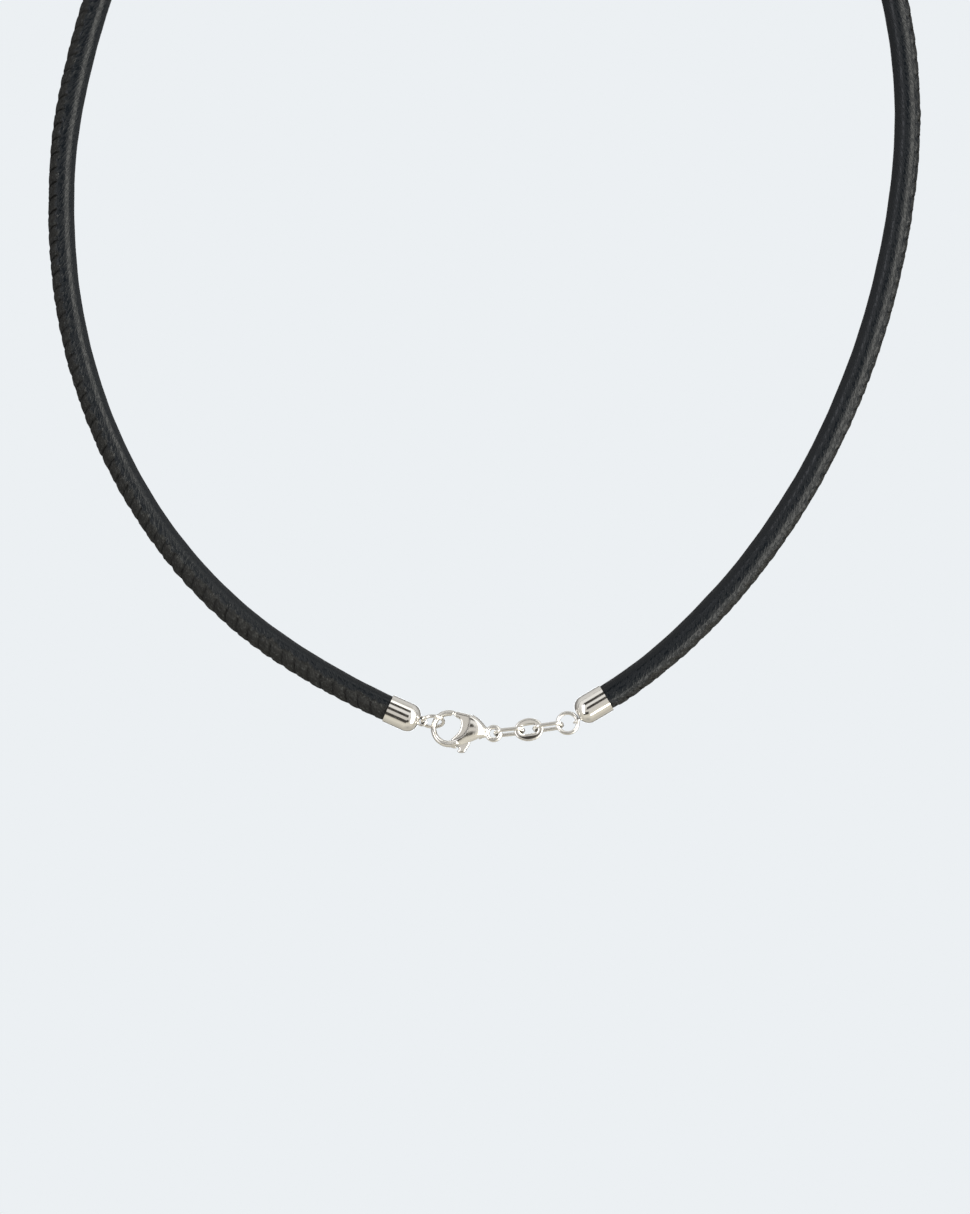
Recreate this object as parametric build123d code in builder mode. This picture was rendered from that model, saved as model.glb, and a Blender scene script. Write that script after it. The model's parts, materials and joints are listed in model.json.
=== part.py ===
"""Leather cord necklace: a closed loop of round stitched leather with a lobster clasp.

Millimetres. X runs to the right, Z up and Y away from the viewer. The loop hangs in
the XZ plane from a peg at the origin, with its clasp at the lowest point.
"""
import os
from math import atan2, cos, degrees, pi, radians, sin, tan

from build123d import *

# Leather cord
cord_diameter = 4.0
bend_share = 0.45

# End caps
cap_end = 1.5
cap_clearance = 0.05
cap_wall = 0.2
cap_length = 5.3
cap_dome = 1.8
lug_radius = 0.62
lug_wire = 0.4
lug_reach = 0.4
left_lug_rise = 0.30
right_lug_drop = 0.76

# Chain
seat_gap = 0.09
claw_seat_gap = 0.28
left_ring_radius = 1.65
left_ring_wire = 0.56
left_ring_lean = 58.0
right_ring_radius = 1.58
right_ring_wire = 0.6
link_span = 4.4
link_width = 2.3
link_wire = 0.6
link_lean = 68.0
oval_length = 4.6
oval_height = 3.6
oval_hole_length = 2.7
oval_hole_height = 1.3
oval_thickness = 0.8
oval_rounding = 0.3

# Clasp
clasp_tilt = 8.0
claw_offset = 3.25
claw_drop = 0.35
claw_radius = 2.42
claw_width = 0.95
claw_depth = 1.4
claw_root_angle = -52.0
claw_sweep = 244.0
mouth_angle = 82.0
mouth_slope = 58.0
gate_gap = 0.07
body_reach = 2.9
body_length = 5.56
body_height = 5.85
body_depth = 2.7
cheek_radius = 3.0
cheek_rise = 1.2
pin_ahead = 0.25
pin_rise = 0.55
pin_radius = 0.35
pin_clearance = 0.05
boss_radius = 0.85
lever_thickness = 1.1
lever_rounding = 0.12
lever_swing = 32.0
gate_reach = 1.65
gate_top_angle = 98.0
nose_drop = 0.1
nose_rise = 0.48
tab_reach = 4.67
slot_clearance = 0.08
slot_top_angle = 94.0
slot_step_angle = 190.0
swing_spare = 3.0
tail_radius = 1.0
tail_wire = 0.72
tail_stand = 0.1

# Directions in the XZ plane, in degrees up from +X
left_cap_angle = -24.0
right_cap_angle = 210.7
left_ring_angle = -1.0
claw_seat_angle = 129.5
first_link_angle = 6.0
oval_angle = 7.5
second_link_angle = 8.2
right_ring_angle = 14.0

# Places that were chosen from the way it hangs
clasp_shift = 4.22
clasp_drop = 151.09
left_end_run = 14.8
right_end_run = 7.9
cord_middle = [
    (-45.2, -130.1),
    (-58.8, -111.4),
    (-66.8, -89.2),
    (-68.55, -65.3),
    (-65.35, -46.0),
    (-57.5, -22.7),
    (-40.0, -6.4),
    (-15.0, 2.0),
    (12.0, 2.0),
    (34.0, -3.8),
    (50.8, -15.3),
    (60.5, -29.5),
    (64.0, -46.4),
    (64.1, -64.0),
    (59.9, -86.4),
    (51.4, -107.8),
    (41.0, -124.2),
    (30.4, -135.9),
]

# Sections of the clasp, as shares of the claw's and the body's own sizes.
# The claw: share of its sweep, width, depth. It thins from its root to its tip.
claw_sections = [
    (0.00, 1.30, 1.50),
    (0.12, 1.15, 1.40),
    (0.25, 1.02, 1.20),
    (0.38, 0.95, 1.05),
    (0.51, 0.92, 0.96),
    (0.64, 0.95, 0.92),
    (0.77, 1.00, 0.88),
    (0.88, 1.00, 0.84),
    (1.00, 0.90, 0.78),
]
# The body: share of its length, middle, height, depth. It narrows to its neck.
body_sections = [
    (0.000, -0.070, 0.98, 0.50),
    (0.142, -0.072, 1.00, 0.80),
    (0.319, -0.050, 0.97, 0.96),
    (0.513, -0.006, 0.83, 1.00),
    (0.681, 0.004, 0.67, 0.95),
    (0.814, 0.004, 0.50, 0.78),
    (0.920, -0.012, 0.35, 0.54),
    (1.000, -0.026, 0.26, 0.32),
]
# The lever's edge along the hole: degrees round the claw's centre, share of the hole's radius
gate_edge = [(-74, 0.92), (-58, 0.82), (-36, 0.78), (-12, 0.84), (14, 0.95), (40, 1.14), (62, 1.08)]
# The lever's thumb tab: degrees round the pin, share of the tab's reach
tab_edge = [(248, 0.85), (250.5, 0.92), (246, 0.965), (251.5, 1.0), (262, 0.93), (264, 0.83), (271, 0.61)]


def toward(angle, reach=1.0):
    """A step in the XZ plane, by its direction in degrees and its length."""
    return Vector(reach * cos(radians(angle)), 0, reach * sin(radians(angle)))


def plane_along(origin, angle, lean=0.0):
    """A plane whose x runs toward the angle; lean 0 faces the viewer, 90 lies edge on."""
    facing = Vector(0, -cos(radians(lean)), 0) - toward(angle + 90, sin(radians(lean)))
    return Plane(origin=origin, x_dir=toward(angle), z_dir=facing)


def swept_ring(plane, length, width, wire):
    """A closed link of round wire, with straight sides and round ends, by its wire's middle."""
    side = width / 2
    bend = length / 2 - side
    with BuildPart() as link:
        with BuildLine(plane):
            Line((0, side), (bend, side))
            ThreePointArc((bend, side), (bend + side, 0), (bend, -side))
            Line((bend, -side), (-bend, -side))
            ThreePointArc((-bend, -side), (-bend - side, 0), (-bend, side))
            Line((-bend, side), (0, side))
        with BuildSketch(Plane(plane.from_local_coords((0, side, 0)), z_dir=plane.x_dir)):
            Circle(wire / 2)
        sweep()
    return link.part


# Places along the chain, worked out from the clasp to each side
clasp_plane = plane_along(Vector(-clasp_shift, 0, -clasp_drop), -clasp_tilt)
claw_centre = clasp_plane.from_local_coords((-claw_offset, -claw_drop, 0))
claw_hole = claw_radius - claw_width / 2

left_ring_seat = claw_centre + toward(claw_seat_angle, claw_hole - left_ring_wire / 2 - claw_seat_gap)
left_ring_centre = left_ring_seat - toward(left_ring_angle, left_ring_radius)
lug_hole = lug_radius - lug_wire / 2
left_lug_slack = lug_hole - left_ring_wire / 2 - seat_gap
left_lug_centre = left_ring_centre - toward(left_ring_angle, left_ring_radius + left_lug_slack)

tail_offset = body_length - body_reach + tail_radius + tail_stand
tail_centre = clasp_plane.from_local_coords((tail_offset, body_sections[-1][1] * body_height, 0))
tail_slack = tail_radius - tail_wire / 2 - link_wire / 2 - seat_gap
first_link_start = tail_centre + toward(first_link_angle, tail_slack)
first_link_centre = first_link_start + toward(first_link_angle, link_span / 2)
link_hole = (link_width - link_wire) / 2
wire_seat = link_wire / 2 + seat_gap + (oval_thickness / 2) ** 2 / (2 * link_hole)
oval_start = first_link_start + toward(first_link_angle, link_span - wire_seat)
oval_centre = oval_start + toward(oval_angle, oval_hole_length / 2)
second_link_start = oval_centre + toward(oval_angle, oval_hole_length / 2 - wire_seat)
second_link_centre = second_link_start + toward(second_link_angle, link_span / 2)
ring_seat = (link_wire + right_ring_wire) / 2 + seat_gap
right_ring_start = second_link_start + toward(second_link_angle, link_span - ring_seat)
right_ring_centre = right_ring_start + toward(right_ring_angle, right_ring_radius)
right_lug_slack = lug_hole - right_ring_wire / 2 - seat_gap
right_lug_centre = right_ring_centre + toward(right_ring_angle, right_ring_radius + right_lug_slack)

# Each cap's mouth lies back from its lug, and the cord ends inside, against the cap's solid end
cap_depth = cap_length - cap_end
lug_stand = cap_length + lug_reach
left_mouth = left_lug_centre - toward(left_cap_angle, lug_stand) - toward(left_cap_angle + 90, left_lug_rise)
right_mouth = right_lug_centre - toward(right_cap_angle, lug_stand) - toward(right_cap_angle + 90, right_lug_drop)
left_end = left_mouth + toward(left_cap_angle, cap_depth)
right_end = right_mouth + toward(right_cap_angle, cap_depth)
left_turn = left_end - toward(left_cap_angle, left_end_run)
right_turn = right_end - toward(right_cap_angle, right_end_run)

# The cord's route, from the left cap over the peg to the right cap
cord_route = [left_end, left_turn]
for x, z in cord_middle:
    cord_route.append(Vector(x, 0, z))
cord_route += [right_turn, right_end]

bend_radii = []
for before, corner, after in zip(cord_route, cord_route[1:], cord_route[2:]):
    turn = (corner - before).get_angle(after - corner)
    shorter_run = min((corner - before).length, (after - corner).length)
    bend_radii.append(bend_share * shorter_run / tan(radians(turn) / 2))

with BuildPart() as leather_cord:
    with BuildLine() as cord_line:
        FilletPolyline(*cord_route, radius=bend_radii)
    with BuildSketch(Plane(left_end, z_dir=left_turn - left_end)):
        Circle(cord_diameter / 2)
    sweep()
leather_cord.part.label = "leather_cord"


def end_cap(mouth, angle, lug_centre, lug_lean, label):
    """A domed cup over the cord's end, with a small wire lug soldered to its dome."""
    bore = cord_diameter / 2 + cap_clearance
    outside = bore + cap_wall
    with BuildPart() as cap:
        with BuildSketch(plane_along(mouth, angle)):
            with BuildLine():
                Polyline(
                    (cap_length, outside - cap_dome),
                    (cap_length, 0),
                    (cap_depth, 0),
                    (cap_depth, bore),
                    (0, bore),
                    (0, outside),
                    (cap_length - cap_dome, outside),
                )
                CenterArc((cap_length - cap_dome, outside - cap_dome), cap_dome, 0, 90)
            make_face()
        revolve(axis=Axis(mouth, toward(angle)))
        with Locations(plane_along(lug_centre, angle, lug_lean)):
            Torus(lug_radius, lug_wire / 2)
    cap.part.label = label
    return cap.part


cap_left = end_cap(left_mouth, left_cap_angle, left_lug_centre, 0, "cap_left")
cap_right = end_cap(right_mouth, right_cap_angle, right_lug_centre, 90, "cap_right")

with BuildPart() as jump_ring_left:
    with Locations(plane_along(left_ring_centre, left_ring_angle, left_ring_lean)):
        Torus(left_ring_radius, left_ring_wire / 2)
jump_ring_left.part.label = "jump_ring_left"

with BuildPart() as jump_ring_right:
    with Locations(plane_along(right_ring_centre, right_ring_angle)):
        Torus(right_ring_radius, right_ring_wire / 2)
jump_ring_right.part.label = "jump_ring_right"

first_link_plane = plane_along(first_link_centre, first_link_angle, link_lean)
link_1 = swept_ring(first_link_plane, link_span, link_width, link_wire)
link_1.label = "link_1"

second_link_plane = plane_along(second_link_centre, second_link_angle, link_lean)
link_2 = swept_ring(second_link_plane, link_span, link_width, link_wire)
link_2.label = "link_2"

with BuildPart() as oval_link:
    with BuildSketch(plane_along(oval_centre, oval_angle)):
        Ellipse(oval_length / 2, oval_height / 2)
        SlotOverall(oval_hole_length, oval_hole_height, mode=Mode.SUBTRACT)
    extrude(amount=oval_thickness / 2, both=True)
    fillet(oval_link.edges(), oval_rounding)
oval_link.part.label = "oval_link"


def claw_polar(angle, reach):
    """A point of the clasp's own plane, round the claw's centre."""
    return Vector(reach * cos(radians(angle)) - claw_offset, reach * sin(radians(angle)) - claw_drop)


def pin_polar(angle, reach):
    """A point of the clasp's own plane, round the lever's pin."""
    return Vector(reach * cos(radians(angle)) + pin_ahead, reach * sin(radians(angle)) + pin_rise)


pin_place = pin_polar(0, 0)


with BuildPart() as claw:
    for share, width, depth in claw_sections:
        angle = claw_root_angle - share * claw_sweep
        station = clasp_plane.from_local_coords(claw_polar(angle, claw_radius))
        outward = toward(angle - clasp_tilt)
        with BuildSketch(Plane(station, x_dir=outward, z_dir=toward(angle - clasp_tilt - 90))):
            Ellipse(width * claw_width / 2, depth * claw_depth / 2)
    loft()
    # The tip is cut on a slope, so that the gate swings clear of it
    mouth = claw_polar(mouth_angle, claw_radius)
    with BuildSketch(clasp_plane):
        with Locations(Location(mouth, mouth_slope)):
            Rectangle(2 * claw_width, 2 * claw_width, align=(Align.CENTER, Align.MAX))
    extrude(amount=claw_depth, both=True, mode=Mode.SUBTRACT)

lever_start = claw_polar(gate_edge[0][0], gate_edge[0][1] * claw_hole)
lever_reach = (lever_start - pin_place).length
slot_radius = lever_reach + slot_clearance
slot_depth = lever_thickness + 2 * slot_clearance
slot_bottom_angle = tab_edge[-1][0] + lever_swing + swing_spare
slot_top_radius = body_height / 2

with BuildPart() as clasp_body:
    for share, middle, height, depth in body_sections:
        station = clasp_plane.from_local_coords((share * body_length - body_reach, middle * body_height))
        with BuildSketch(Plane(station, x_dir=clasp_plane.y_dir, z_dir=clasp_plane.x_dir)):
            Ellipse(height * body_height / 2, depth * body_depth / 2)
    loft()
    with BuildSketch(clasp_plane):
        with Locations((-claw_offset, cheek_rise - claw_drop)):
            Circle(cheek_radius)
    extrude(amount=body_depth, both=True, mode=Mode.SUBTRACT)
    add(claw.part)
    # The slot is the sector that the lever sweeps, with room round its pin
    with BuildSketch(clasp_plane):
        with BuildLine():
            Line(pin_place, pin_polar(slot_top_angle, slot_top_radius))
            CenterArc(pin_place, slot_top_radius, slot_top_angle, slot_step_angle - slot_top_angle)
            Line(pin_polar(slot_step_angle, slot_top_radius), pin_polar(slot_step_angle, slot_radius))
            CenterArc(pin_place, slot_radius, slot_step_angle, slot_bottom_angle - slot_step_angle)
            Line(pin_polar(slot_bottom_angle, slot_radius), pin_place)
        make_face()
        with Locations(pin_place):
            Circle(boss_radius + slot_clearance)
    extrude(amount=slot_depth / 2, both=True, mode=Mode.SUBTRACT)
    with Locations(Plane(clasp_plane.from_local_coords(pin_place), z_dir=clasp_plane.z_dir)):
        Cylinder(pin_radius, slot_depth + pin_radius)
    with Locations(Plane(tail_centre, z_dir=clasp_plane.z_dir)):
        Torus(tail_radius, tail_wire / 2)
clasp_body.part.label = "clasp_body"

slope_along = Vector(cos(radians(mouth_slope)), sin(radians(mouth_slope)))
slope_out = Vector(sin(radians(mouth_slope)), -cos(radians(mouth_slope)))
nose_low = mouth + slope_out * gate_gap - slope_along * nose_drop
nose_high = mouth + slope_out * gate_gap + slope_along * nose_rise
hole_points = [claw_polar(angle, share * claw_hole) for angle, share in gate_edge]
tab_points = [pin_polar(angle, share * tab_reach) for angle, share in tab_edge]
hidden_angle = degrees(atan2(lever_start.Y - pin_rise, lever_start.X - pin_ahead)) % 360
tab_start = pin_polar(tab_edge[0][0], lever_reach)
hidden_middle = pin_polar((hidden_angle + tab_edge[0][0]) / 2, lever_reach)

with BuildPart() as clasp_lever:
    with BuildSketch(clasp_plane):
        with BuildLine():
            Spline(*hole_points)
            Polyline(
                hole_points[-1],
                nose_low,
                nose_high,
                pin_polar(gate_top_angle, gate_reach),
                pin_place,
                *tab_points[::-1],
                tab_start,
            )
            ThreePointArc(tab_start, hidden_middle, lever_start)
        make_face()
        with Locations(pin_place):
            Circle(boss_radius)
            Circle(pin_radius + pin_clearance, mode=Mode.SUBTRACT)
    extrude(amount=lever_thickness / 2, both=True)
    flat_faces = clasp_lever.faces().filter_by(Axis.Y)
    outer_edges = [edge for face in flat_faces for edge in face.outer_wire().edges()]
    fillet(outer_edges, lever_rounding)
clasp_lever.part.label = "clasp_lever"

os.makedirs("parts", exist_ok=True)
for piece in (leather_cord.part, cap_left, cap_right, jump_ring_left.part, jump_ring_right.part):
    export_step(piece, f"parts/{piece.label}.step")
for piece in (link_1, oval_link.part, link_2, clasp_body.part, clasp_lever.part):
    export_step(piece, f"parts/{piece.label}.step")

cord_length = cord_line.wires()[0].length
cord_section = pi * cord_diameter**2 / 4
print("bend radii", [round(radius, 1) for radius in bend_radii])
print("cord length", round(cord_length, 2))
print("tube volume over section times length", leather_cord.part.volume / (cord_section * cord_length))
for point in (left_end, left_turn, right_turn, right_end):
    print("cord's end or turn at", round(point.X, 2), round(point.Z, 2))
pin_centre = clasp_plane.from_local_coords(pin_place)
print("lever's pin", round(pin_centre.X, 3), round(pin_centre.Z, 3), "swings", lever_swing)
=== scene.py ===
"""Looks of a leather cord necklace that hangs as a closed loop, with its clasp lowest.

Metres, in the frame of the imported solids: X to the right, Z up, and the viewer looks along +Y.
"""

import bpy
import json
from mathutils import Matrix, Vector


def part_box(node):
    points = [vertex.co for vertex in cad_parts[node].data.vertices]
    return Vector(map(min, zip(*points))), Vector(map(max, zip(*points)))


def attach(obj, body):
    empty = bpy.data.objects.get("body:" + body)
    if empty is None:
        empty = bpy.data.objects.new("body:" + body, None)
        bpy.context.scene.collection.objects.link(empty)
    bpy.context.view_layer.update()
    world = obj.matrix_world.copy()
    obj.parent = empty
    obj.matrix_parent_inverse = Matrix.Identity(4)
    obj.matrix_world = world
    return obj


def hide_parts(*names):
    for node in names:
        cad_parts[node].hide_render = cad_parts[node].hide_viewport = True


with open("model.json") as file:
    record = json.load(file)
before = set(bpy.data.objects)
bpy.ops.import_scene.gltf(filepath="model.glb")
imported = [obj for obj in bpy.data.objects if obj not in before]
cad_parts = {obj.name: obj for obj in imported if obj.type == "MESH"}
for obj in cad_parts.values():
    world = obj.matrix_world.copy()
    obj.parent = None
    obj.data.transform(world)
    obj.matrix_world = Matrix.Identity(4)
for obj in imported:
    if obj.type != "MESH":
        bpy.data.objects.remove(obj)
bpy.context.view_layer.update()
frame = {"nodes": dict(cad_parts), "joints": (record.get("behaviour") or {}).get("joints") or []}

import json
import math

import bpy
import numpy as np

# Camera
# A portrait lens stands square to the loop, level with its lower part, and takes in the clasp
# and both strands. The crown of the loop is above the picture's top edge.
photo_height = 1214
pixels_per_metre = 6400
lens_mm = 135
sensor_mm = 36
aim_x = -0.001875
aim_z = -0.132
camera_distance = photo_height / pixels_per_metre * lens_mm / sensor_mm
camera_data = bpy.data.cameras.new("studio_camera")
camera_data.lens = lens_mm
camera_data.sensor_width = sensor_mm
camera = bpy.data.objects.new("studio_camera", camera_data)
camera.location = (aim_x, -camera_distance, aim_z)
camera.rotation_euler = (math.pi / 2, 0, 0)
bpy.context.scene.collection.objects.link(camera)
bpy.context.scene.camera = camera

# Leather cord
# A strip of black nappa is wrapped round a soft core and closed by a seam. The seam lies on the
# outer side of the loop, and turns to the viewer on the left strand.
cord_points = [
    (-0.01358, -0.14936),
    (-0.02710, -0.14334),
    (-0.0452, -0.1301),
    (-0.0588, -0.1114),
    (-0.0668, -0.0892),
    (-0.06855, -0.0653),
    (-0.06535, -0.0460),
    (-0.0575, -0.0227),
    (-0.0400, -0.0064),
    (-0.0150, 0.0020),
    (0.0120, 0.0020),
    (0.0340, -0.0038),
    (0.0508, -0.0153),
    (0.0605, -0.0295),
    (0.0640, -0.0464),
    (0.0641, -0.0640),
    (0.0599, -0.0864),
    (0.0514, -0.1078),
    (0.0410, -0.1242),
    (0.0304, -0.1359),
    (0.02063, -0.14408),
    (0.01384, -0.14811),
]
cap_bore_depth = 0.0038
skin_radius = 0.00194
# Along the cord: share of its length, seam in degrees from outward to the viewer, swell of its
# thickness, and how far the leather is rubbed to each side of the seam
cord_stations = [
    (0.00, 44, 0.00, 0.0018),
    (0.03, 44, 0.06, 0.0018),
    (0.07, 43, 0.11, 0.0017),
    (0.10, 42, 0.06, 0.0015),
    (0.14, 38, 0.045, 0.0013),
    (0.20, 34, 0.05, 0.0011),
    (0.25, 32, 0.00, 0.0011),
    (0.31, 31, 0.085, 0.0012),
    (0.38, 29, 0.05, 0.0012),
    (0.50, 12, 0.03, 0.0012),
    (0.58, 0, 0.02, 0.0012),
    (0.75, -5, 0.00, 0.0011),
    (0.83, -5, 0.02, 0.0012),
    (0.87, -5, 0.01, 0.0014),
    (0.935, -6, 0.06, 0.0018),
    (0.97, -6, 0.02, 0.0019),
    (1.00, -6, 0.00, 0.0019),
]

# Stitches along the seam, and the points between two of them where the skin has a ring
stitch_pitch = 0.00225
stitch_jitter = 0.12
stitch_slant = 0.0011
stitch_phases = (-0.5, -0.34, -0.2, -0.1, -0.03, 0.05, 0.17, 0.33)
# The leather puffs up between stitches, over a stretch to each side of the seam
seam_half_angle = math.radians(56)
seam_border = 0.36
seam_columns = 16
plain_columns = 12
seam_swell = 0.00006
puff_height = 0.00011
puff_spread = (0.6, 1.25)
cap_fade = 0.4
# A stitch pulls a sharp crease on one side and a gentle one on the other, like a roof tile
press_before = 0.10
press_after = 0.24
groove_width = 0.06
groove_overshoot = 1.15
# The two edges butt in a fine line, and the needle holes lie to each side of it
butt_depth = 0.00004
butt_width = 0.00011
hole_angle = math.radians(36)
hole_depth = 0.00011
hole_width = 0.00016
hole_length = 0.12
# Waves in the skin: radians per metre along the cord, and waves round it
lump_height = 0.00002
lump_waves = ((140, 1), (310, 2), (620, 1), (1150, 3))
pucker_height = 0.00005

route = bpy.data.curves.new("cord_route", "CURVE")
route.dimensions = "3D"
route.resolution_u = 64
spline = route.splines.new("NURBS")
spline.points.add(len(cord_points) - 1)
for point, (x, z) in zip(spline.points, cord_points):
    point.co = (x, 0, z, 1)
spline.order_u = 3
spline.use_endpoint_u = True
route_object = bpy.data.objects.new("cord_route", route)
bpy.context.scene.collection.objects.link(route_object)
bpy.context.view_layer.update()
route_mesh = bpy.data.meshes.new_from_object(route_object)
cord_line = np.array([vertex.co for vertex in route_mesh.vertices])
bpy.data.objects.remove(route_object)
bpy.data.curves.remove(route)
bpy.data.meshes.remove(route_mesh)

line_steps = np.linalg.norm(np.diff(cord_line, axis=0), axis=1)
line_along = np.concatenate([[0.0], np.cumsum(line_steps)])
cord_length = line_along[-1]
line_tangent = np.gradient(cord_line, line_along, axis=0)
line_tangent /= np.linalg.norm(line_tangent, axis=1)[:, None]


def cord_surface(along, around, radius):
    """Points by distance along the cord, angle from outward to the viewer, and distance from its middle."""
    along = np.clip(along, 0.0, cord_length)
    middle = np.stack([np.interp(along, line_along, cord_line[:, k]) for k in range(3)], axis=-1)
    tangent_x = np.interp(along, line_along, line_tangent[:, 0])
    tangent_z = np.interp(along, line_along, line_tangent[:, 2])
    outward = np.stack([-tangent_z, np.zeros_like(tangent_x), tangent_x], axis=-1)
    to_viewer = np.array([0.0, -1.0, 0.0])
    direction = np.cos(around)[..., None] * outward + np.sin(around)[..., None] * to_viewer
    return middle + radius[..., None] * direction


station_shares, station_turns, station_swells, station_rubs = zip(*cord_stations)


def seam_angle(along):
    """The seam's place round the cord, which drifts along its length."""
    return np.radians(np.interp(along / cord_length, station_shares, station_turns))


cord_random = np.random.default_rng(7)
stitch_count = round(cord_length / stitch_pitch)
stitch_lengths = 1 + stitch_jitter * cord_random.uniform(-1, 1, stitch_count)
stitch_bounds = np.concatenate([[0.0], np.cumsum(stitch_lengths)])
stitch_bounds *= cord_length / stitch_bounds[-1]
stitch_middles = (stitch_bounds[:-1] + stitch_bounds[1:]) / 2
stitch_lengths = np.diff(stitch_bounds)
puff_heights = puff_height * cord_random.uniform(*puff_spread, stitch_count)

# The skin is a grid: rings along the cord, and columns round it that crowd at the seam
ring_along = (stitch_middles[:, None] + stitch_lengths[:, None] * np.array(stitch_phases)).ravel()
ring_along = np.append(ring_along, cord_length)
ring_phase = np.append(np.tile(stitch_phases, stitch_count), 0.5)
ring_puff = np.append(np.repeat(puff_heights, len(stitch_phases)), puff_heights[-1])
seam_side = np.linspace(0, seam_half_angle, seam_columns + 1)
plain_side = np.linspace(seam_half_angle, math.pi, plain_columns + 1)[1:]
half_turn = np.concatenate([seam_side, plain_side])
column_angle = np.concatenate([-half_turn[:0:-1], half_turn[:-1]])

along_grid, angle_grid = np.meshgrid(ring_along, column_angle, indexing="ij")
phase_grid = np.repeat(ring_phase[:, None], len(column_angle), axis=1)
puff_grid = np.repeat(ring_puff[:, None], len(column_angle), axis=1)
end_distance = np.minimum(along_grid, cord_length - along_grid)
out_of_cap = np.clip((end_distance - cap_bore_depth) / (cap_fade * cap_bore_depth), 0, 1)
seam_share = np.clip((seam_half_angle - np.abs(angle_grid)) / (seam_border * seam_half_angle), 0, 1)
seam_share = seam_share**2 * (3 - 2 * seam_share)
seam_share *= out_of_cap
press_reach = np.where(phase_grid < 0, press_before, press_after)
stitch_press = np.exp(-((phase_grid / press_reach) ** 2))
butt_share = np.exp(-((skin_radius * angle_grid / butt_width) ** 2))
hole_share = np.exp(-(((np.abs(angle_grid) - hole_angle) * skin_radius / hole_width) ** 2))
lumps = np.zeros_like(along_grid)
for waves, wobble in lump_waves:
    phase_shift = cord_random.uniform(0, 2 * math.pi)
    lumps += np.sin(waves * along_grid + wobble * angle_grid + phase_shift) * lump_height / 2
puckers = cord_random.normal(0, 1, along_grid.shape)
puckers = (puckers + np.roll(puckers, 1, 0) + np.roll(puckers, 1, 1) + np.roll(puckers, 1, (0, 1))) / 4
thickening = np.interp(along_grid / cord_length, station_shares, station_swells) * out_of_cap
skin = skin_radius * (1 + thickening / 2) + lumps
skin += seam_share * (seam_swell + puff_grid * (1 - stitch_press) + pucker_height * puckers)
skin += seam_share * thickening * skin_radius / 2
skin -= seam_share * butt_depth * butt_share * (1 - stitch_press)
skin -= seam_share * hole_depth * hole_share * np.exp(-((phase_grid / hole_length) ** 2))
ring_slant = stitch_slant * np.sin(angle_grid) * np.clip(end_distance / cap_bore_depth, 0, 1)
round_angle = seam_angle(along_grid) + angle_grid
skin_points = cord_surface(along_grid + ring_slant, round_angle, skin).reshape(-1, 3)

ring_total, column_total = along_grid.shape
skin_faces = []
skin_uvs = []
for ring in range(ring_total - 1):
    low_u = ring_along[ring]
    high_u = ring_along[ring + 1]
    for column in range(column_total):
        following = (column + 1) % column_total
        skin_faces.append((
            ring * column_total + column,
            ring * column_total + following,
            (ring + 1) * column_total + following,
            (ring + 1) * column_total + column,
        ))
        low_v = column_angle[column] * skin_radius
        high_v = column_angle[following] * skin_radius if following else math.pi * skin_radius
        skin_uvs += [low_u, low_v, low_u, high_v, high_u, high_v, high_u, low_v]
for ring, order in ((0, -1), (ring_total - 1, 1)):
    skin_faces.append(tuple(range(ring * column_total, (ring + 1) * column_total))[::order])
    for column in range(column_total)[::order]:
        skin_uvs += [ring_along[ring], column_angle[column] * skin_radius]
cord_mesh = bpy.data.meshes.new("stitched_leather_cord")
cord_mesh.from_pydata(skin_points.tolist(), [], skin_faces)
cord_uv = cord_mesh.uv_layers.new(name="along_and_round")
cord_uv.data.foreach_set("uv", np.array(skin_uvs, np.float32))
# The crease that each stitch presses in is marked, for painted shade in the leather's colour and a duller
# finish there
groove = seam_share * np.exp(-((phase_grid / groove_width) ** 2))
groove *= np.abs(angle_grid) < hole_angle * groove_overshoot
in_groove = cord_mesh.attributes.new("in_groove", "FLOAT", "POINT")
in_groove.data.foreach_set("value", groove.ravel().astype(np.float32))
rubbed = np.interp(along_grid / cord_length, station_shares, station_rubs)
rub_reach = cord_mesh.attributes.new("rub_reach", "FLOAT", "POINT")
rub_reach.data.foreach_set("value", rubbed.ravel().astype(np.float32))
cord_mesh.shade_smooth()
cord = bpy.data.objects.new("stitched_leather_cord", cord_mesh)
bpy.context.scene.collection.objects.link(cord)


def add_node(tree, kind, inputs, **settings):
    """A shader node with its settings, and its inputs by name: a value, or the socket that feeds it."""
    node = tree.nodes.new(kind)
    for name, value in settings.items():
        setattr(node, name, value)
    for name, value in inputs.items():
        if isinstance(value, bpy.types.NodeSocket):
            tree.links.new(value, node.inputs[name])
        else:
            node.inputs[name].default_value = value
    return node


def mottle(tree, place, scale, detail, **more):
    """Cloudy noise from nought to one, with as many clouds to the metre as its scale."""
    inputs = {"Vector": place, "Scale": scale, "Detail": detail, **more}
    return add_node(tree, "ShaderNodeTexNoise", inputs)


def stretched(tree, value, start, end, kind="LINEAR"):
    """A value taken from its span at the start to a span at the end."""
    spans = {"From Min": start[0], "From Max": start[1], "To Min": end[0], "To Max": end[1]}
    node = add_node(tree, "ShaderNodeMapRange", {"Value": value, **spans}, interpolation_type=kind)
    return node.outputs["Result"]


def mixed(tree, share, first, second):
    """The first tone, turning into the second as the share grows."""
    node = add_node(tree, "ShaderNodeMixRGB", {"Fac": share, "Color1": first, "Color2": second})
    return node.outputs["Color"]


def reckoned(tree, operation, *values):
    """The result of an operation on one or two values."""
    return add_node(tree, "ShaderNodeMath", dict(enumerate(values)), operation=operation).outputs[0]


def attribute(tree, name):
    """A value that the mesh carries at its points."""
    return add_node(tree, "ShaderNodeAttribute", {}, attribute_name=name).outputs["Fac"]
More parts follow.
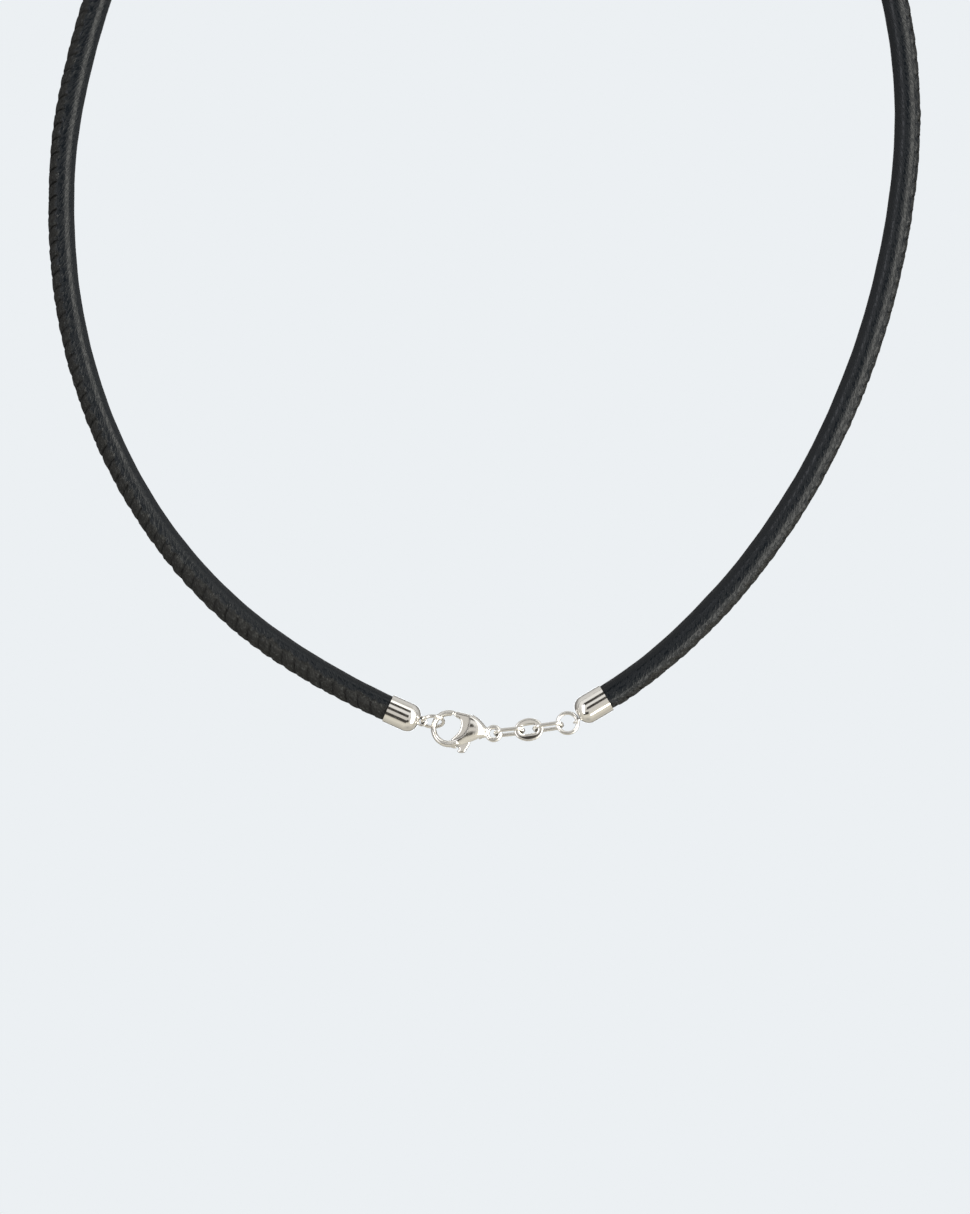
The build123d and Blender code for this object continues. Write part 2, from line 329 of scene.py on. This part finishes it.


# Nappa: blue-black where it is smooth, browner where the seam is rubbed, with painted glints as light
# specks on the rubbed part
smooth_tones = ((0.0040, 0.0058, 0.0080, 1), (0.0058, 0.0076, 0.0102, 1))
rubbed_tones = ((0.0050, 0.0050, 0.0047, 1), (0.0135, 0.0137, 0.0130, 1))
glint_speck_tone = (0.045, 0.047, 0.045, 1)
groove_shade_tone = (0.0012, 0.0012, 0.0012, 1)
rub_wander = 0.0004
rub_softness = 0.0003
crease_lean = math.radians(-38)
crease_size = (0.0009, 0.00036, 1.0)
crease_waver = (0.0006, 0.0006, 0.0)
crease_depth = 0.000016
crumple_depth = 0.00016
leather_roughness = (0.15, 0.20)
seam_dullness = 0.15
edge_dullness = 0.2
crease_dullness = 0.3
groove_dullness = 0.5

leather = bpy.data.materials.new("black_nappa")
leather.use_nodes = True
tree = leather.node_tree
shader = tree.nodes["Principled BSDF"]
place = add_node(tree, "ShaderNodeUVMap", {}, uv_map="along_and_round").outputs["UV"]
parted = add_node(tree, "ShaderNodeSeparateXYZ", {"Vector": place})
along, across = parted.outputs["X"], parted.outputs["Y"]
# Smooth leather far from the seam, rubbed leather on it, with an uneven border
border = mottle(tree, place, 900.0, 3.0).outputs["Fac"]
border_shift = stretched(tree, border, (0.3, 0.7), (-rub_wander, rub_wander))
from_seam = reckoned(tree, "ADD", reckoned(tree, "ABSOLUTE", across), border_shift)
past_rub = reckoned(tree, "SUBTRACT", from_seam, attribute(tree, "rub_reach"))
seam_mask = stretched(tree, past_rub, (-rub_softness, rub_softness), (1.0, 0.0), "SMOOTHSTEP")
patches = mottle(tree, place, 1500.0, 5.0).outputs["Fac"]
patch_share = stretched(tree, patches, (0.35, 0.65), (0.0, 1.0))
# Painted glints: sparse light specks in the colour of the rubbed leather stand in for small glints of light
glint_specks = mottle(tree, place, 2800.0, 2.0).outputs["Fac"]
glint_speck_share = stretched(tree, glint_specks, (0.56, 0.72), (0.0, 1.0))
rubbed_with_glints = mixed(tree, glint_speck_share, mixed(tree, patch_share, *rubbed_tones), glint_speck_tone)
tone = mixed(tree, seam_mask, mixed(tree, patch_share, *smooth_tones), rubbed_with_glints)
# Painted shade: the leather's colour is darkened almost to black in the crease that each stitch presses in
pressed = attribute(tree, "in_groove")
tree.links.new(mixed(tree, pressed, tone, groove_shade_tone), shader.inputs["Base Color"])
# Fine creases lean away from the seam towards the crown, alike on both strands
from_crown = reckoned(tree, "ABSOLUTE", reckoned(tree, "SUBTRACT", along, cord_length / 2))
folded_place = add_node(tree, "ShaderNodeCombineXYZ", {"X": from_crown, "Y": across}).outputs["Vector"]
waver = mottle(tree, place, 300.0, 1.0).outputs["Color"]
waver = add_node(tree, "ShaderNodeVectorMath", {0: waver, 1: crease_waver}, operation="MULTIPLY")
wavy_place = add_node(
    tree,
    "ShaderNodeVectorMath",
    {0: folded_place, 1: waver.outputs["Vector"]},
    operation="ADD",
).outputs["Vector"]
leaning_place = add_node(
    tree,
    "ShaderNodeMapping",
    {"Vector": wavy_place, "Rotation": (0, 0, crease_lean), "Scale": crease_size},
    vector_type="TEXTURE",
).outputs["Vector"]
grain = mottle(tree, leaning_place, 1.0, 1.0).outputs["Fac"]
creases = stretched(tree, grain, (0.42, 0.55), (0.0, 1.0), "SMOOTHSTEP")
crease_bump = add_node(
    tree,
    "ShaderNodeBump",
    {"Height": creases, "Strength": 1.0, "Distance": crease_depth},
).outputs["Normal"]
crumple = mottle(tree, place, 2000.0, 5.0, Roughness=0.75, Distortion=0.8).outputs["Fac"]
crumple_bump = add_node(
    tree,
    "ShaderNodeBump",
    {
        "Height": reckoned(tree, "MULTIPLY", crumple, seam_mask),
        "Strength": 1.0,
        "Distance": crumple_depth,
        "Normal": crease_bump,
    },
).outputs["Normal"]
tree.links.new(crumple_bump, shader.inputs["Normal"])
# Dry leather is duller on the rubbed seam, at a grazing view, in its creases and in its grooves
grazing = add_node(tree, "ShaderNodeLayerWeight", {"Blend": 0.5}).outputs["Facing"]
roughness = stretched(tree, patches, (0.3, 0.7), leather_roughness)
for dullness in (
    stretched(tree, seam_mask, (0.0, 1.0), (0.0, seam_dullness)),
    stretched(tree, grazing, (0.4, 0.9), (0.0, edge_dullness)),
    stretched(tree, creases, (0.0, 1.0), (crease_dullness, 0.0)),
    stretched(tree, pressed, (0.0, 1.0), (0.0, groove_dullness)),
):
    roughness = reckoned(tree, "ADD", roughness, dullness)
tree.links.new(roughness, shader.inputs["Roughness"])
shader.inputs["IOR"].default_value = 1.33
cord_mesh.materials.append(leather)
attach(cord, "necklace")
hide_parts("leather_cord")

# Stitches
# Black waxed thread is whipped over the seam. Each stitch lies in the slanted crease that it
# pulls into the leather, and dives into a needle hole at each end.
thread_radius = 0.00012
thread_steps = 9
thread_sides = 6
thread_flatness = 0.8
thread_spread = 1.15
thread_rise = 0.00002
thread_dive = 0.0002
thread_dive_power = 8
thread_overshoot = 1.04
lean_spread = (0.85, 1.15)
cap_clearance = 1.6
thread_tones = ((0.0012, 0.0012, 0.0012, 1), (0.004, 0.0038, 0.0036, 1))

stitch_share = np.linspace(-1, 1, thread_steps)
thread_height = skin_radius + seam_swell + thread_rise
thread_height = thread_height - thread_dive * np.abs(stitch_share) ** thread_dive_power
thread_angles = stitch_share * hole_angle * thread_overshoot
thread_points = []
thread_faces = []
first_stitch = int(np.searchsorted(stitch_middles, cap_clearance * cap_bore_depth))
for stitch in range(first_stitch, stitch_count - first_stitch):
    lean = cord_random.uniform(*lean_spread)
    stitch_along = stitch_middles[stitch] + stitch_slant * np.sin(thread_angles) * lean
    stitch_around = seam_angle(stitch_along) + thread_angles
    middle = cord_surface(stitch_along, stitch_around, thread_height)
    heading = np.gradient(middle, axis=0)
    heading /= np.linalg.norm(heading, axis=1)[:, None]
    raised = middle - cord_surface(stitch_along, stitch_around, np.zeros(thread_steps))
    raised /= np.linalg.norm(raised, axis=1)[:, None]
    sideways = np.cross(heading, raised)
    start = len(thread_points)
    for step in range(thread_steps):
        for side in range(thread_sides):
            turn = 2 * math.pi * side / thread_sides
            offset = math.cos(turn) * raised[step] * thread_flatness
            offset = offset + math.sin(turn) * sideways[step] * thread_spread
            thread_points.append(tuple(middle[step] + thread_radius * offset))
    for step in range(thread_steps - 1):
        here = start + step * thread_sides
        ahead = here + thread_sides
        for side in range(thread_sides):
            beside = (side + 1) % thread_sides
            thread_faces.append((here + side, ahead + side, ahead + beside, here + beside))
    last = start + (thread_steps - 1) * thread_sides
    thread_faces.append(tuple(range(start, start + thread_sides)))
    thread_faces.append(tuple(range(last, last + thread_sides))[::-1])
thread_mesh = bpy.data.meshes.new("cord_stitches")
thread_mesh.from_pydata(thread_points, [], thread_faces)
thread_mesh.shade_smooth()
thread = bpy.data.objects.new("cord_stitches", thread_mesh)
bpy.context.scene.collection.objects.link(thread)
waxed_thread = bpy.data.materials.new("black_waxed_thread")
waxed_thread.use_nodes = True
tree = waxed_thread.node_tree
shader = tree.nodes["Principled BSDF"]
place = add_node(tree, "ShaderNodeTexCoord", {}).outputs["Object"]
fibres = mottle(tree, place, 9000.0, 2.0).outputs["Fac"]
tree.links.new(mixed(tree, fibres, *thread_tones), shader.inputs["Base Color"])
shader.inputs["Roughness"].default_value = 0.75
shader.inputs["Specular IOR Level"].default_value = 0.1
thread_mesh.materials.append(waxed_thread)

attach(thread, "necklace")

# Silver caps, rings and links
# The caps are turned cups, the rings and links drawn wire, soldered shut. All are polished bright, with the
# faint ripple that tumbling leaves.
# Where they touch and in their hollows their colour is darkened, partly as tarnish and partly as painted
# shade.
silver_tones = ((0.92, 0.895, 0.85, 1), (0.97, 0.955, 0.92, 1))
tarnish_and_shade_tone = (0.06, 0.052, 0.045, 1)
tarnish_and_shade_reach = 0.0004
tarnish_and_shade_strength = 0.85
tarnish_dullness = 0.4
ripple_depth = 0.00002
ripple_strength = 0.25


def silver_finish(name, roughness):
    """Silver with a faint ripple and patches of wear, darkened in its recesses partly as tarnish and partly
    as painted shade, and along any painted gap shade that its mesh carries.
    """
    metal = bpy.data.materials.new(name)
    metal.use_nodes = True
    tree = metal.node_tree
    shader = tree.nodes["Principled BSDF"]
    place = add_node(tree, "ShaderNodeTexCoord", {}).outputs["Object"]
    wear = mottle(tree, place, 900.0, 5.0).outputs["Fac"]
    # Tarnish and painted shade: ambient occlusion darkens the colour in recesses and where pieces touch,
    # and a painted gap shade that the mesh carries darkens it too
    occlusion = add_node(tree, "ShaderNodeAmbientOcclusion", {"Distance": tarnish_and_shade_reach}, samples=8)
    tarnish_and_shade = stretched(tree, occlusion.outputs["AO"], (0.3, 0.8), (tarnish_and_shade_strength, 0.0))
    tarnish_and_shade = reckoned(tree, "MAXIMUM", tarnish_and_shade, attribute(tree, "gap_shade"))
    tone = mixed(tree, tarnish_and_shade, mixed(tree, wear, *silver_tones), tarnish_and_shade_tone)
    tree.links.new(tone, shader.inputs["Base Color"])
    dull = reckoned(tree, "MULTIPLY", tarnish_and_shade, tarnish_dullness)
    gloss = reckoned(tree, "ADD", stretched(tree, wear, (0.3, 0.7), roughness), dull)
    tree.links.new(gloss, shader.inputs["Roughness"])
    ripple = mottle(tree, place, 700.0, 2.0).outputs["Fac"]
    bump = add_node(
        tree,
        "ShaderNodeBump",
        {"Height": ripple, "Strength": ripple_strength, "Distance": ripple_depth},
    )
    tree.links.new(bump.outputs["Normal"], shader.inputs["Normal"])
    shader.inputs["Metallic"].default_value = 1.0
    return metal


polished_silver = silver_finish("polished_silver", (0.07, 0.14))
for name in ("cap_left", "cap_right", "jump_ring_left", "jump_ring_right", "link_1", "link_2"):
    frame["nodes"][name].data.materials[0] = polished_silver

# Clasp
# The claw and body are one lost-wax casting, and the lever on its rivet is another. Tumbling has
# rounded all their edges and left them softer than the turned caps.
cast_voxel = 0.00005
tumbled_silver = silver_finish("tumbled_silver", (0.13, 0.2))


def tumbled_copy(node_name, edge_rounds, regrowth, metal):
    """A node's form as one closed skin with softened edges, in place of the node."""
    node = frame["nodes"][node_name]
    copy_mesh = node.data.copy()
    copy_mesh.name = node_name + "_polished"
    piece = bpy.data.objects.new(node_name + "_polished", copy_mesh)
    bpy.context.scene.collection.objects.link(piece)
    piece.matrix_world = node.matrix_world
    bpy.ops.object.select_all(action="DESELECT")
    piece.select_set(True)
    bpy.context.view_layer.objects.active = piece
    bpy.ops.mesh.customdata_custom_splitnormals_clear()
    bpy.ops.object.mode_set(mode="EDIT")
    bpy.ops.mesh.select_all(action="SELECT")
    bpy.ops.mesh.remove_doubles(threshold=1e-7)
    bpy.ops.object.mode_set(mode="OBJECT")
    remesh = piece.modifiers.new("skin", "REMESH")
    remesh.mode = "VOXEL"
    remesh.voxel_size = cast_voxel
    bpy.ops.object.modifier_apply(modifier="skin")
    rounding = piece.modifiers.new("tumbled", "SMOOTH")
    rounding.factor = 0.5
    rounding.iterations = edge_rounds
    bpy.ops.object.modifier_apply(modifier="tumbled")
    swelling = piece.modifiers.new("regrown", "DISPLACE")
    swelling.mid_level = 0
    swelling.strength = regrowth
    bpy.ops.object.modifier_apply(modifier="regrown")
    bpy.ops.object.shade_smooth()
    piece.data.materials.clear()
    piece.data.materials.append(metal)
    return piece


def piece_points(piece):
    """The places of a piece's vertices, one row each."""
    points = np.empty(len(piece.data.vertices) * 3, np.float32)
    piece.data.vertices.foreach_get("co", points)
    return points.reshape(-1, 3)


def ease_front(piece, full_depth, setback):
    """Set the front skin back by setback(x, z), in full from full_depth before the middle plane on."""
    points = piece_points(piece)
    share = np.clip(-points[:, 1] / full_depth, 0, 1)
    points[:, 1] += share * setback(points[:, 0], points[:, 2])
    piece.data.vertices.foreach_set("co", points.ravel())
    piece.data.update()


def file_away(piece, spot, reach, rounds):
    """Take a small burr off a casting, round a spot given by its x and z."""
    points = piece_points(piece)
    from_spot = np.hypot(points[:, 0] - spot[0], points[:, 2] - spot[1])
    burr = piece.vertex_groups.new(name="burr")
    for index in np.nonzero(from_spot < reach)[0].tolist():
        burr.add([index], 1 - float(from_spot[index]) / reach, "REPLACE")
    filing = piece.modifiers.new("filed", "SMOOTH")
    filing.factor = 0.5
    filing.iterations = rounds
    filing.vertex_group = "burr"
    bpy.context.view_layer.objects.active = piece
    bpy.ops.object.modifier_apply(modifier="filed")
    piece.vertex_groups.clear()


pin_x, _, pin_z = frame["joints"][0]["pos_m"]
body_low, body_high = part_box("clasp_body")
body_middle_height = 0.5 * (body_low[2] + body_high[2])
body_rounds = 20
body_regrowth = 0.00001
body_lean = 0.1
body_lean_depth = 0.0009
lever_half_thickness = 0.00055
# Burrs where the lever's slot was cut: right of the pin and above it, reach, and rounds of filing
slot_burrs = [
    (-0.00205, -0.00355, 0.00075, 900),
    (-0.00337, -0.00234, 0.0004, 120),
    (-0.00050, 0.00163, 0.0005, 40),
]
# The body's cheeks are fullest between the pin and the tail
fullness = 0.17
fullest_past_pin = 0.0019
full_length = 0.0011
# The cheeks end on an arc beside the lever, and painted shade darkens a band along their edge, where the
# gap beside the lever is in shadow
clasp_turn = math.radians(-8)
cheek_radius = 0.003
cheek_behind_pin = 0.0035
cheek_above_pin = 0.0003
cheek_x = pin_x - cheek_behind_pin * math.cos(clasp_turn) - cheek_above_pin * math.sin(clasp_turn)
cheek_z = pin_z - cheek_behind_pin * math.sin(clasp_turn) + cheek_above_pin * math.cos(clasp_turn)
gap_shade_width = 0.00024
gap_shade_strength = 0.85

clasp_casting = tumbled_copy("clasp_body", body_rounds, body_regrowth, tumbled_silver)
for burr_x, burr_z, reach, rounds in slot_burrs:
    file_away(clasp_casting, (pin_x + burr_x, pin_z + burr_z), reach, rounds)
casting_points = piece_points(clasp_casting)
past_fullest = casting_points[:, 0] - (pin_x + fullest_past_pin)
fuller = fullness * np.exp(-(past_fullest / full_length) ** 2)
casting_points[:, 1] *= 1 + fuller * (np.abs(casting_points[:, 1]) > lever_half_thickness)
clasp_casting.data.vertices.foreach_set("co", casting_points.ravel())
# The front leans over, so that its flats show the paper below and not the lens
ease_front(clasp_casting, body_lean_depth, lambda x, z: body_lean * (body_middle_height - z))
casting_points = piece_points(clasp_casting)
# Painted shade: a band along the cheeks' arc, off the lever's plate, is darkened in colour for the shadow
# in the gap
from_cheek = np.hypot(casting_points[:, 0] - cheek_x, casting_points[:, 2] - cheek_z) - cheek_radius
gap_shade_share = np.clip(1 - np.abs(from_cheek) / gap_shade_width, 0, 1) * gap_shade_strength
gap_shade_share[np.abs(casting_points[:, 1]) < lever_half_thickness] = 0
gap_shade = clasp_casting.data.attributes.new("gap_shade", "FLOAT", "POINT")
gap_shade.data.foreach_set("value", gap_shade_share)
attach(clasp_casting, "necklace")
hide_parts("clasp_body")

lever_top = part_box("clasp_lever")[1][2]
lever_rounds = 110
lever_regrowth = 0.00005
lever_lean = 0.06
plate_lean_depth = 0.0003
lever_casting = tumbled_copy("clasp_lever", lever_rounds, lever_regrowth, tumbled_silver)
ease_front(lever_casting, plate_lean_depth, lambda x, z: lever_lean * (lever_top - z))
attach(lever_casting, "lever")
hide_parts("clasp_lever")

# Oval link
# A flat link is stamped from silver plate and tumbled. Its press has dished it, so that its upper
# bow looks down and its lower bow looks up.
oval_low, oval_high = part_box("oval_link")
oval_rounds = 10
oval_regrowth = 0.00001
oval_dish = 0.11
oval_middle = [0.5 * (low + high) for low, high in zip(oval_low, oval_high)]
oval_half = [0.5 * (high - low) for low, high in zip(oval_low, oval_high)]


def oval_setback(x, z):
    """The deeper, the nearer to the middle of the oval."""
    outward = np.hypot((x - oval_middle[0]) / oval_half[0], (z - oval_middle[2]) / oval_half[2])
    return oval_dish * oval_half[2] * np.clip(1 - outward, 0, 1)


oval_pressing = tumbled_copy("oval_link", oval_rounds, oval_regrowth, polished_silver)
ease_front(oval_pressing, plate_lean_depth, oval_setback)
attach(oval_pressing, "necklace")
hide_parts("oval_link")

# Studio
# A tent of white paper with a tall softbox at each side. The gaps that the camera looks and works
# through stay dark, and polished silver shows them as stripes.
floor_height = -0.42
floor_radius = 0.8
floor_tone = (0.82, 0.85, 0.87, 1)
floor_roughness = 0.9
bpy.ops.object.select_all(action="DESELECT")
bpy.ops.mesh.primitive_circle_add(
    vertices=96,
    radius=floor_radius,
    fill_type="NGON",
    location=(0, 0, floor_height),
)
floor = bpy.context.object
floor.name = "studio_floor"
floor.visible_glossy = False
floor.visible_shadow = False
paper = bpy.data.materials.new("pale_paper")
paper.use_nodes = True
paper.node_tree.nodes["Principled BSDF"].inputs["Base Color"].default_value = floor_tone
paper.node_tree.nodes["Principled BSDF"].inputs["Roughness"].default_value = floor_roughness
floor.data.materials.append(paper)

# The paper's tones by degrees of elevation
paper_tones = [
    (-90, (0.46, 0.44, 0.40, 1)),
    (-62, (0.70, 0.67, 0.59, 1)),
    (-50, (0.64, 0.61, 0.53, 1)),
    (-22, (0.62, 0.60, 0.56, 1)),
    (-8, (0.60, 0.58, 0.55, 1)),
    (20, (0.76, 0.75, 0.73, 1)),
    (56, (0.84, 0.83, 0.81, 1)),
    (66, (0.66, 0.65, 0.62, 1)),
    (90, (0.66, 0.66, 0.65, 1)),
]
flank_tone = 0.74
unlit_strength = 0.88
unlit_rises = (-32, 32, 24)
gap_tone = (0.045, 0.041, 0.036, 1)
backing_tone = (2.6, 2.65, 2.75, 1)
rear_weakness = 0.03
# The gaps and softboxes climb a little to the viewer's right
gap_climb = 0.15
# Each patch: its span to the side, its span upward, the softness of its border, and its tone
dark_gaps = [
    ((-8.5, 8.5), (-2.5, 15), 2.5, gap_tone),
    ((-44, 38), (33.8, 53), 4, gap_tone),
    ((-50, 8), (-42, -22.5), 5, gap_tone),
]
softboxes = [
    ((36, 64), (10, 56), 9, (1.5, 1.5, 1.45, 1)),
    ((32, 68), (-54, 19), 5, (5.4, 5.3, 4.9, 1)),
    ((-51, -30), (-32, 36), 6, (2.6, 2.6, 2.7, 1)),
]
backdrop_tone = (0.839, 0.871, 0.896, 1)

world = bpy.data.worlds.new("studio")
bpy.context.scene.world = world
world.use_nodes = True
tree = world.node_tree
output = tree.nodes["World Output"]
ray = add_node(tree, "ShaderNodeTexCoord", {}).outputs["Generated"]
ray_parts = add_node(tree, "ShaderNodeSeparateXYZ", {"Vector": ray})
ray_depth = ray_parts.outputs["Y"]
# Angles in degrees: up from the horizon, and to the viewer's right from the lens
rise = reckoned(tree, "DEGREES", reckoned(tree, "ARCSINE", ray_parts.outputs["Z"]))
side = reckoned(tree, "ARCTAN2", ray_parts.outputs["X"], reckoned(tree, "ABSOLUTE", ray_depth))
side = reckoned(tree, "DEGREES", side)
rise_over_climb = reckoned(tree, "SUBTRACT", rise, reckoned(tree, "MULTIPLY", side, gap_climb))


def within(angle, low, high, soft):
    """One inside a span of an angle, nought outside, with soft borders."""
    rising = stretched(tree, angle, (low - soft / 2, low + soft / 2), (0.0, 1.0), "SMOOTHSTEP")
    falling = stretched(tree, angle, (high - soft / 2, high + soft / 2), (1.0, 0.0), "SMOOTHSTEP")
    return reckoned(tree, "MULTIPLY", rising, falling)


paper_bands = add_node(
    tree,
    "ShaderNodeValToRGB",
    {"Fac": stretched(tree, rise, (-90.0, 90.0), (0.0, 1.0))},
)
ramp = paper_bands.color_ramp
while len(ramp.elements) > 1:
    ramp.elements.remove(ramp.elements[-1])
for index, (elevation, tone) in enumerate(paper_tones):
    share = (elevation + 90) / 180
    element = ramp.elements[0] if index == 0 else ramp.elements.new(share)
    element.position = share
    element.color = tone
# The tent's flanks and back get less light than its front
flank_light = stretched(tree, ray_depth, (-0.25, 0.35), (1.0, flank_tone))
surround = add_node(
    tree,
    "ShaderNodeVectorMath",
    {0: paper_bands.outputs["Color"], "Scale": flank_light},
    operation="SCALE",
).outputs["Vector"]
# Behind the necklace, level with it, the room is unlit, but for a lit strip of backing paper
# straight behind
unlit = stretched(tree, ray_depth, (0.2, 0.8), (0.0, unlit_strength))
unlit = reckoned(tree, "MULTIPLY", unlit, within(rise, *unlit_rises))
surround = mixed(tree, unlit, surround, gap_tone)
backing = stretched(tree, ray_depth, (0.95, 0.985), (0.0, 1.0), "SMOOTHSTEP")
surround = mixed(tree, backing, surround, backing_tone)
rear_weakening = stretched(tree, ray_depth, (-0.1, 0.1), (1.0, rear_weakness))
for sides, rises, soft, patch_tone in dark_gaps + softboxes:
    patch = reckoned(tree, "MULTIPLY", within(side, *sides, soft), within(rise_over_climb, *rises, soft))
    patch = reckoned(tree, "MULTIPLY", patch, rear_weakening)
    surround = mixed(tree, patch, surround, patch_tone)
surroundings = add_node(tree, "ShaderNodeBackground", {"Color": surround})
# The camera itself sees plain pale paper behind the necklace
backdrop = add_node(tree, "ShaderNodeBackground", {"Color": backdrop_tone, "Strength": 1.0})
seen = add_node(tree, "ShaderNodeLightPath", {}).outputs["Is Camera Ray"]
both = add_node(tree, "ShaderNodeMixShader", {"Fac": seen})
tree.links.new(surroundings.outputs["Background"], both.inputs[1])
tree.links.new(backdrop.outputs["Background"], both.inputs[2])
tree.links.new(both.outputs["Shader"], output.inputs["Surface"])

bpy.context.scene.view_settings.view_transform = "Standard"
